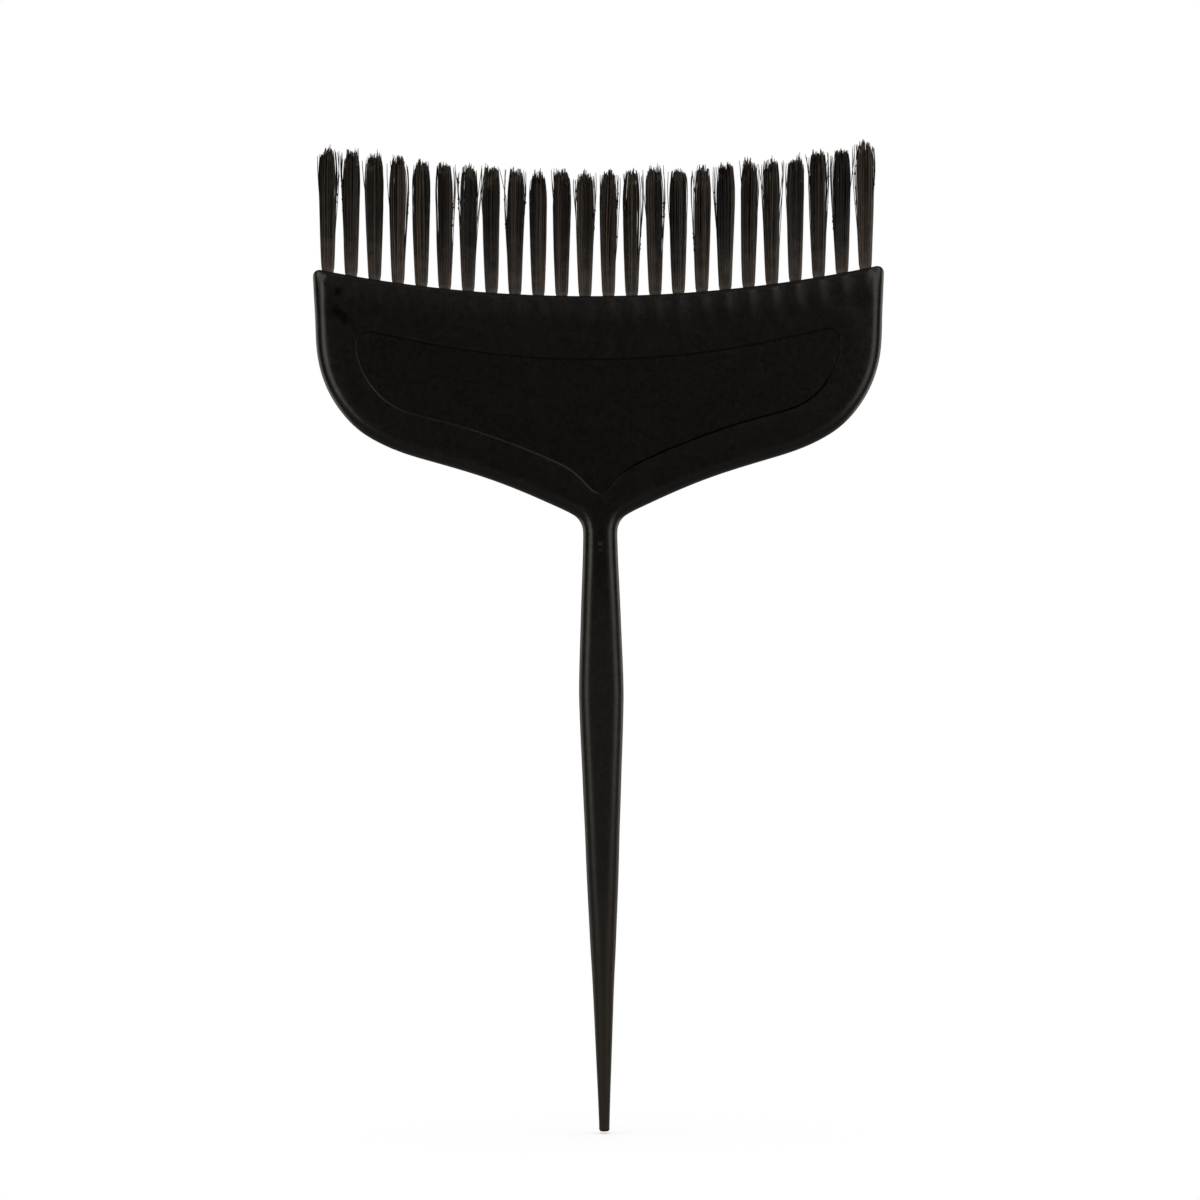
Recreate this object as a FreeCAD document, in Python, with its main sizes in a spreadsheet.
import FreeCAD, Part
import math
import os

from FreeCAD import Placement, Rotation, Vector

# Tint brush, extra wide: a one-piece moulded head and tail handle, with one row of
# nylon filament tufts folded over flat wire anchors in blind holes.
# Frame: +Z from the tail tip to the bristle tips, X along the bristle row, Y through
# the thickness with the front at -Y. Origin at the end of the tail. Millimetres.

doc = FreeCAD.newDocument("tint_brush")
dims = doc.addObject("Spreadsheet::Sheet", "dims")

# ---- driving dimensions --------------------------------------------------------------
TUFTS = 24
NUMBERS = range(1, TUFTS + 1)

# alias, value, note
DIMENSIONS = [
    ("plate_thick", 5.4, "thickness of head and handle"),
    ("rim_round", 2.6, "edge rounding, which leaves a narrow parting land"),
    ("form_half_width", 62.82, "half width of the form that trims the bristle edge"),
    ("top_low", 183.7, "height of the bristle edge at the middle"),
    ("top_radius", 305.7, "radius of the concave bristle edge"),
    ("top_corner", 1.5, "corner rounding at both ends of the bristle edge"),
    ("top_round", 1.0, "rounding along the bristle edge"),
    ("panel_depth", 0.3, "depth of the recessed panel on each face"),
    ("panel_slope", 0.22, "sloped border of the recessed panel"),
    ("gate_radius", 0.35, "moulding gate vestige on the neck"),
    ("gate_height", 0.12, "how far the gate vestige stands out"),
    ("gate_sink", 0.05, "how far the gate vestige starts inside the face"),
    ("gate_level", 129.2, "height of the gate vestige"),
    ("hole_dia", 2.7, "tuft hole"),
    ("hole_depth", 8.0, "tuft hole, to the start of its conical bottom"),
    ("hole_overrun", 3.0, "how far the cutter reaches above the hole mouth"),
    ("hole_cone", 0.75, "height of the conical bottom"),
    ("hole_point_radius", 0.05, "radius at the point of the conical bottom"),
    ("tuft_pitch", 5.14, "spacing of the tufts"),
    ("row_shift", -0.4, "the row sits a little to one side"),
    ("root_dia", 2.66, "filaments packed in the hole"),
    ("fold_height", 0.85, "depth of the rounded fold under the anchor"),
    ("anchor_length", 3.1, "flat wire, longer than the hole is wide, so it bites in"),
    ("anchor_thick", 0.35, "flat wire"),
    ("anchor_height", 1.6, "flat wire, measured along the hole"),
    ("anchor_level", 0.9, "lower edge of the wire above the start of the cone"),
    ("flex_height", 1.45, "flex axis of a tuft above the hole mouth"),
    ("tuft_base", 1.3, "tuft radius at its flex axis"),
    ("tip_gap_mid", 27.3, "tip height above the bristle edge at the middle"),
    ("tip_radius", 317.7, "radius of the concave line of the tips"),
    ("tail_top", 39.9, "where the flat handle turns into a round tail"),
    ("tail_top_radius", 2.66, "tail radius there"),
]


def concave(low, radius, across):
    """Expression for the height of a concave arc at the place `across`."""
    return f"{low} + {radius} - sqrt({radius} * {radius} - {across} * {across})"


for i in NUMBERS:
    across = "tuft_x_%02d" % i
    middle = (TUFTS + 1) / 2
    mouth = concave("top_low", "top_radius", across)
    tip = concave("top_low + tip_gap_mid", "tip_radius", across)
    DIMENSIONS += [
        (across, f"=row_shift + ({i} - {middle}) * tuft_pitch", "tuft position"),
        ("mouth_z_%02d" % i, "=" + mouth, "hole mouth height"),
        ("tip_z_%02d" % i, "=" + tip, "tuft tip height"),
    ]

for row, (alias, value, note) in enumerate(DIMENSIONS, 1):
    dims.set("A%d" % row, alias)
    dims.set("B%d" % row, str(value))
    dims.set("C%d" % row, note)
    dims.setAlias("B%d" % row, alias)
doc.recompute()


def num(alias):
    return float(dims.get(alias))


# ---- helpers -------------------------------------------------------------------------
FLAT = 1e-6  # tolerance for an edge lying in a face of the plate
half_thick = num("plate_thick") / 2


def xz_plane(body):
    return [f for f in body.Origin.OriginFeatures if f.Role == "XZ_Plane"][0]


def new_sketch(body, name, offset=None):
    """Sketch on the XZ plane, or moved towards the front by an offset expression."""
    sketch = body.newObject("Sketcher::SketchObject", name)
    sketch.AttachmentSupport = [(xz_plane(body), "")]
    sketch.MapMode = "FlatFace"
    if offset is not None:
        sketch.setExpression(".AttachmentOffset.Base.z", offset)
    return sketch


def spline(points, closed=False):
    curve = Part.BSplineCurve()
    curve.interpolate(Points=[Vector(x, z, 0) for x, z in points], PeriodicFlag=closed)
    return curve


def mirrored(curve):
    """The same curve on the other side of the middle plane."""
    twin = Part.BSplineCurve()
    twin.buildFromPolesMultsKnots(
        [Vector(-p.x, p.y, 0) for p in curve.getPoles()],
        curve.getMultiplicities(),
        curve.getKnots(),
        False,
        curve.Degree,
    )
    return twin


def line(sketch, start, end):
    sketch.addGeometry(Part.LineSegment(Vector(*start, 0), Vector(*end, 0)))


def arc(sketch, start, through, end):
    sketch.addGeometry(Part.Arc(Vector(*start, 0), Vector(*through, 0), Vector(*end, 0)))


def on_circle(x, z, radius, angle):
    return (x + radius * math.cos(angle), z + radius * math.sin(angle))


def revolve(body, sketch, name):
    turned = body.newObject("PartDesign::Revolution", name)
    turned.Profile = sketch
    turned.ReferenceAxis = (sketch, ["V_Axis"])
    turned.Angle = 360.0
    return turned


def face_edges(shape, wanted):
    """Names of the edges in the front or back face whose bounding box is wanted."""
    names = []
    for number, edge in enumerate(shape.Edges, 1):
        box = edge.BoundBox
        in_face = abs(box.YMax - box.YMin) < FLAT and abs(abs(box.YMax) - half_thick) < FLAT
        if in_face and wanted(box):
            names.append("Edge%d" % number)
    return names


def primitive(kind, name, place, **sizes):
    """Part primitive with its place and sizes bound to expressions."""
    obj = doc.addObject("Part::" + kind, name)
    for prop, expression in sizes.items():
        obj.setExpression(prop, expression)
    for axis, expression in place.items():
        obj.setExpression(".Placement.Base." + axis, expression)
    return obj


# ---- handle blank: flat head, grip and round tail ------------------------------------
# Half outline, as (half width, height): down the straight side, round the shoulder, in
# to the neck with its inner rounding, then down the grip to the start of the tail.
NECK_HALF, NECK_LEVEL, NECK_ROUND = 3.74, 131.85, 4.5
NECK_TURNS = (27, 38, 50, 63, 76, 90)  # degrees round the inner rounding
SIDE = [(63.12, 196.0), (62.83, 189.5), (62.58, 184.0), (62.33, 178.4), (62.05, 172.3)]
SHOULDER = [
    (61.16, 167.5), (59.49, 163.1), (56.76, 158.7), (52.45, 154.3),
    (49.24, 152.25), (44.26, 149.95), (36.56, 147.5), (29.48, 145.4),
    (23.23, 143.3), (17.62, 141.1), (12.47, 138.85), (9.8, 137.63),
]
NECK = [
    (
        NECK_HALF + NECK_ROUND * (1 - math.sin(math.radians(turn))),
        NECK_LEVEL + NECK_ROUND * math.cos(math.radians(turn)),
    )
    for turn in NECK_TURNS
]
GRIP = [
    (3.755, 129.5), (3.82, 127.0), (4.00, 122.4), (4.27, 115.8), (4.51, 109.2),
    (4.72, 103.4), (4.85, 98.6), (4.87, 96.0), (4.80, 92.7), (4.58, 86.1),
    (4.31, 79.5), (4.07, 72.9), (3.80, 66.3), (3.59, 59.7), (3.34, 53.1),
    (3.04, 46.5), (2.74, num("tail_top")),
]

# Recessed panel, as (half width, height), from its lowest to its highest middle point.
PANEL_LOW = (0.0, 140.5)
PANEL_SIDE = [
    (1.2, 140.95), (2.65, 142.25), (4.3, 144.0), (6.7, 145.95), (9.6, 147.5),
    (14.8, 149.8), (22.0, 152.6), (28.8, 154.95), (34.0, 156.45), (38.95, 157.75),
    (43.6, 159.25), (47.1, 161.4), (50.05, 164.65), (52.15, 168.6), (53.1, 172.6),
    (52.65, 174.9), (50.9, 176.1), (48.6, 175.85), (42.2, 174.4), (34.0, 172.75),
    (26.0, 171.5), (17.5, 170.5), (9.0, 169.95),
]
PANEL_HIGH = (0.0, 169.75)
# Window that holds the panel's rim and nothing else.
PANEL_ZONE_HALF, PANEL_ZONE_LOW, PANEL_ZONE_HIGH = 53.6, 140.0, 177.0
SHORTEST_RISE = 0.01

# Tail, as (radius, height), from the grip down to just above the rounded tip.
TAIL = [
    (num("tail_top_radius"), num("tail_top")), (2.38, 33.3), (2.10, 26.7),
    (1.84, 20.1), (1.58, 13.5), (1.32, 6.9), (1.14, 1.4),
]
TIP_RADIUS, TIP_ROUND = 1.11, 0.5
DIAGONAL = math.radians(-45)  # middle of a lower right quarter circle


def add_slab(body):
    """Flat head and grip with rounded rims; the cut across the tail stays sharp."""
    outline = new_sketch(body, "head_and_grip_outline")
    flank = spline(SIDE + SHOULDER + NECK + GRIP)
    line(outline, (-SIDE[0][0], SIDE[0][1]), SIDE[0])
    outline.addGeometry(flank)
    line(outline, GRIP[-1], (-GRIP[-1][0], GRIP[-1][1]))
    outline.addGeometry(mirrored(flank))

    slab = body.newObject("PartDesign::Pad", "head_and_grip")
    slab.Profile = outline
    slab.Midplane = True
    slab.setExpression("Length", "dims.plate_thick")
    doc.recompute()

    rims = face_edges(slab.Shape, lambda box: abs(box.ZMax - box.ZMin) >= FLAT)
    rounding = body.newObject("PartDesign::Fillet", "rim_rounding")
    rounding.Base = (slab, rims)
    rounding.setExpression("Radius", "dims.rim_round")
    doc.recompute()


def is_panel_rim(box):
    between = box.ZMin > PANEL_ZONE_LOW and box.ZMax < PANEL_ZONE_HIGH
    inside = abs(box.XMax) < PANEL_ZONE_HALF and abs(box.XMin) < PANEL_ZONE_HALF
    return between and inside and box.ZMax - box.ZMin > SHORTEST_RISE


def add_panels(body):
    """Shallow recessed panel with a sloped border, the same on both faces."""
    outline = new_sketch(body, "panel_outline", "dims.plate_thick / 2")
    other_side = [(-x, z) for x, z in reversed(PANEL_SIDE)]
    loop = [PANEL_LOW] + PANEL_SIDE + [PANEL_HIGH] + other_side
    outline.addGeometry(spline(loop, closed=True))
    panel = body.newObject("PartDesign::Pocket", "front_panel")
    panel.Profile = outline
    panel.setExpression("Length", "dims.panel_depth")
    doc.recompute()

    both = body.newObject("PartDesign::Mirrored", "both_panels")
    both.Originals = [panel]
    both.MirrorPlane = (xz_plane(body), [""])
    body.Tip = both
    doc.recompute()

    slope = body.newObject("PartDesign::Chamfer", "panel_slope")
    slope.Base = (both, face_edges(both.Shape, is_panel_rim))
    slope.setExpression("Size", "dims.panel_slope")
    doc.recompute()


def add_tail(body):
    """Round tail, from the end of the flat grip to the tip."""
    top = num("tail_top")
    profile = new_sketch(body, "tail_profile")
    line(profile, (0, top), TAIL[0])
    profile.addGeometry(spline(TAIL))
    line(profile, TAIL[-1], (TIP_RADIUS, TIP_ROUND))
    centre_x = TIP_RADIUS - TIP_ROUND
    through = on_circle(centre_x, TIP_ROUND, TIP_ROUND, DIAGONAL)
    arc(profile, (TIP_RADIUS, TIP_ROUND), through, (centre_x, 0))
    line(profile, (centre_x, 0), (0, 0))
    line(profile, (0, 0), (0, top))
    revolve(body, profile, "round_tail")
    doc.recompute()


def add_gate(body):
    """Gate vestige on the front of the neck."""
    outline = new_sketch(body, "gate_outline", "dims.plate_thick / 2 - dims.gate_sink")
    centre = Vector(0, num("gate_level"), 0)
    outline.addGeometry(Part.Circle(centre, Vector(0, 0, 1), num("gate_radius")))
    gate = body.newObject("PartDesign::Pad", "gate_vestige")
    gate.Profile = outline
    gate.setExpression("Length", "dims.gate_height + dims.gate_sink")
    doc.recompute()
    body.Tip = gate


def make_blank():
    body = doc.addObject("PartDesign::Body", "handle_blank")
    add_slab(body)
    add_panels(body)
    add_tail(body)
    add_gate(body)
    return body


# ---- trimming the bristle edge -------------------------------------------------------
FORM_BOTTOM = -5  # below the tail tip
FORM_RIM_LEVEL = 150.0  # rims that reach above this are rounded
KEEP_WIDTH, KEEP_THICK, KEEP_HEIGHT, KEEP_BOTTOM = 30, 8, 50, 90


def make_form():
    """Form that trims the concave bristle edge and rounds its corners and rims."""
    form = doc.addObject("PartDesign::Body", "bristle_edge_form")
    outline = new_sketch(form, "form_outline")
    radius, low = num("top_radius"), num("top_low")
    side, corner = num("form_half_width"), num("top_corner")

    # corner circle: tangent to the straight side, and outside the concave arc's circle
    corner_x = side - corner
    corner_z = low + radius - math.sqrt((radius + corner) ** 2 - corner_x**2)
    centre = Vector(corner_x, corner_z, 0)
    touch = centre + (Vector(0, low + radius, 0) - centre).normalize() * corner
    turn = math.atan2(touch.y - corner_z, touch.x - corner_x) / 2
    via_x, via_z = on_circle(corner_x, corner_z, corner, turn)

    arc(outline, (touch.x, touch.y), (0, low), (-touch.x, touch.y))
    arc(outline, (-touch.x, touch.y), (-via_x, via_z), (-side, corner_z))
    line(outline, (-side, corner_z), (-side, FORM_BOTTOM))
    line(outline, (-side, FORM_BOTTOM), (side, FORM_BOTTOM))
    line(outline, (side, FORM_BOTTOM), (side, corner_z))
    arc(outline, (side, corner_z), (via_x, via_z), (touch.x, touch.y))

    block = form.newObject("PartDesign::Pad", "form_block")
    block.Profile = outline
    block.Midplane = True
    block.setExpression("Length", "dims.plate_thick")
    doc.recompute()

    rims = face_edges(block.Shape, lambda box: box.ZMax > FORM_RIM_LEVEL)
    rounding = form.newObject("PartDesign::Fillet", "form_rounding")
    rounding.Base = (block, rims)
    rounding.setExpression("Radius", "dims.top_round")
    doc.recompute()
    return form


def trim(blank, form):
    """What the blank and the form share, with the gate vestige kept."""
    # thicker than the plate, so that the vestige is not trimmed off
    keep = doc.addObject("Part::Box", "neck_keep")
    keep.Length, keep.Width, keep.Height = KEEP_WIDTH, KEEP_THICK, KEEP_HEIGHT
    corner = Vector(-KEEP_WIDTH / 2, -KEEP_THICK / 2, KEEP_BOTTOM)
    keep.Placement = Placement(corner, Rotation())

    whole_form = doc.addObject("Part::MultiFuse", "trim_form")
    whole_form.Shapes = [form, keep]
    whole_form.Refine = True
    trimmed = doc.addObject("Part::MultiCommon", "trimmed_blank")
    trimmed.Shapes = [blank, whole_form]
    trimmed.Refine = True
    doc.recompute()
    return trimmed


# ---- holes, anchors and tuft roots ---------------------------------------------------
def in_hole(i, height=""):
    """Place on the axis of hole i, from the start of its cone."""
    return {
        "x": "dims.tuft_x_%02d" % i,
        "z": "dims.mouth_z_%02d - dims.hole_depth%s" % (i, height),
    }


def anchor_box(name, i):
    """Flat wire across hole i; it also cuts its own slots in the hole wall."""
    place = in_hole(i, " + dims.anchor_level")
    place["x"] += " - dims.anchor_length / 2"
    place["y"] = "-dims.anchor_thick / 2"
    return primitive(
        "Box", name, place,
        Length="dims.anchor_length",
        Width="dims.anchor_thick",
        Height="dims.anchor_height",
    )


def drill(trimmed):
    """Handle with its blind holes and the slots the anchors bite."""
    cutters = []
    for i in NUMBERS:
        hole = primitive(
            "Cylinder", "hole_%02d" % i, in_hole(i),
            Radius="dims.hole_dia / 2",
            Height="dims.hole_depth + dims.hole_overrun",
        )
        point = primitive(
            "Cone", "hole_floor_%02d" % i, in_hole(i, " - dims.hole_cone"),
            Radius1="dims.hole_point_radius",
            Radius2="dims.hole_dia / 2",
            Height="dims.hole_cone",
        )
        cutters += [hole, point, anchor_box("bite_%02d" % i, i)]
    doc.recompute()

    drilling = doc.addObject("Part::MultiFuse", "drilling")
    drilling.Shapes = cutters
    handle = doc.addObject("Part::Cut", "handle_cut")
    handle.Base = trimmed
    handle.Tool = drilling
    handle.Refine = True
    handle.Label = "handle"
    doc.recompute()
    return handle


def make_root(i, wire):
    """Filaments side by side in the hole, with a rounded fold under the anchor."""
    place = in_hole(i, " + dims.anchor_level")
    stem = primitive(
        "Cylinder", "stem_%02d" % i, place,
        Radius="dims.root_dia / 2",
        Height="dims.hole_depth - dims.anchor_level",
    )
    fold = primitive(
        "Ellipsoid", "fold_%02d" % i, place,
        Radius1="dims.fold_height",
        Radius2="dims.root_dia / 2",
        Radius3="dims.root_dia / 2",
    )
    packed = doc.addObject("Part::MultiFuse", "packed_%02d" % i)
    packed.Shapes = [stem, fold]
    slotted = doc.addObject("Part::Cut", "root_%02d" % i)
    slotted.Base = packed
    slotted.Tool = wire
    return slotted


def group(name, label, members):
    compound = doc.addObject("Part::Compound", name)
    compound.Links = members
    compound.Label = label
    return compound


# ---- free tufts ----------------------------------------------------------------------
# Radius against height above the hole mouth: narrow at the mouth, flaring for two
# thirds of the length, then closing towards a loose tip.
FLARE = [(1.56, 6.6), (1.74, 13.2), (1.92, 19.8), (1.80, 24.0)]
TUFT_SHOULDER, TUFT_END, TUFT_BEVEL = 1.35, 0.95, 0.5  # two tip radii, height between


def make_tuft(i):
    """Tuft turned about its own axis, with a round base centred on the flex axis."""
    body = doc.addObject("PartDesign::Body", "tuft_%02d" % i)
    profile = new_sketch(body, "tuft_profile_%02d" % i)
    base, flex = num("tuft_base"), num("flex_height")
    top = num("tip_z_%02d" % i) - num("mouth_z_%02d" % i) - flex

    arc(profile, (0, -base), on_circle(0, 0, base, DIAGONAL), (base, 0))
    flare = [(radius, height - flex) for radius, height in FLARE]
    side = [(base, 0.0)] + flare + [(TUFT_SHOULDER, top - TUFT_BEVEL)]
    profile.addGeometry(spline(side))
    line(profile, side[-1], (TUFT_END, top))
    line(profile, (TUFT_END, top), (0, top))
    line(profile, (0, top), (0, -base))
    revolve(body, profile, "tuft_turned_%02d" % i)

    body.setExpression(".Placement.Base.x", "dims.tuft_x_%02d" % i)
    body.setExpression(".Placement.Base.z", "dims.mouth_z_%02d + dims.flex_height" % i)
    return body


# ---- build and write -----------------------------------------------------------------
blank = make_blank()
handle = drill(trim(blank, make_form()))

anchors = [anchor_box("anchor_%02d" % i, i) for i in NUMBERS]
roots = [make_root(i, wire) for i, wire in zip(NUMBERS, anchors)]
doc.recompute()
anchor_group = group("anchor_group", "anchor_wires", anchors)
root_group = group("root_group", "tuft_roots", roots)
doc.recompute()

tufts = [make_tuft(i) for i in NUMBERS]
doc.recompute()

for obj in doc.Objects:
    if any(s in ("Invalid", "Error") for s in obj.State):
        raise RuntimeError("feature %s is in error: %s" % (obj.Name, obj.State))

os.makedirs("parts", exist_ok=True)
for obj in [handle, anchor_group, root_group] + tufts:
    shape = obj.Shape
    if shape.isNull() or not shape.isValid():
        raise RuntimeError("shape of %s is not valid" % obj.Label)
    if any(not s.isClosed() for s in shape.Shells):
        raise RuntimeError("shape of %s is not closed" % obj.Label)
    shape.exportStep("parts/%s.step" % obj.Label)
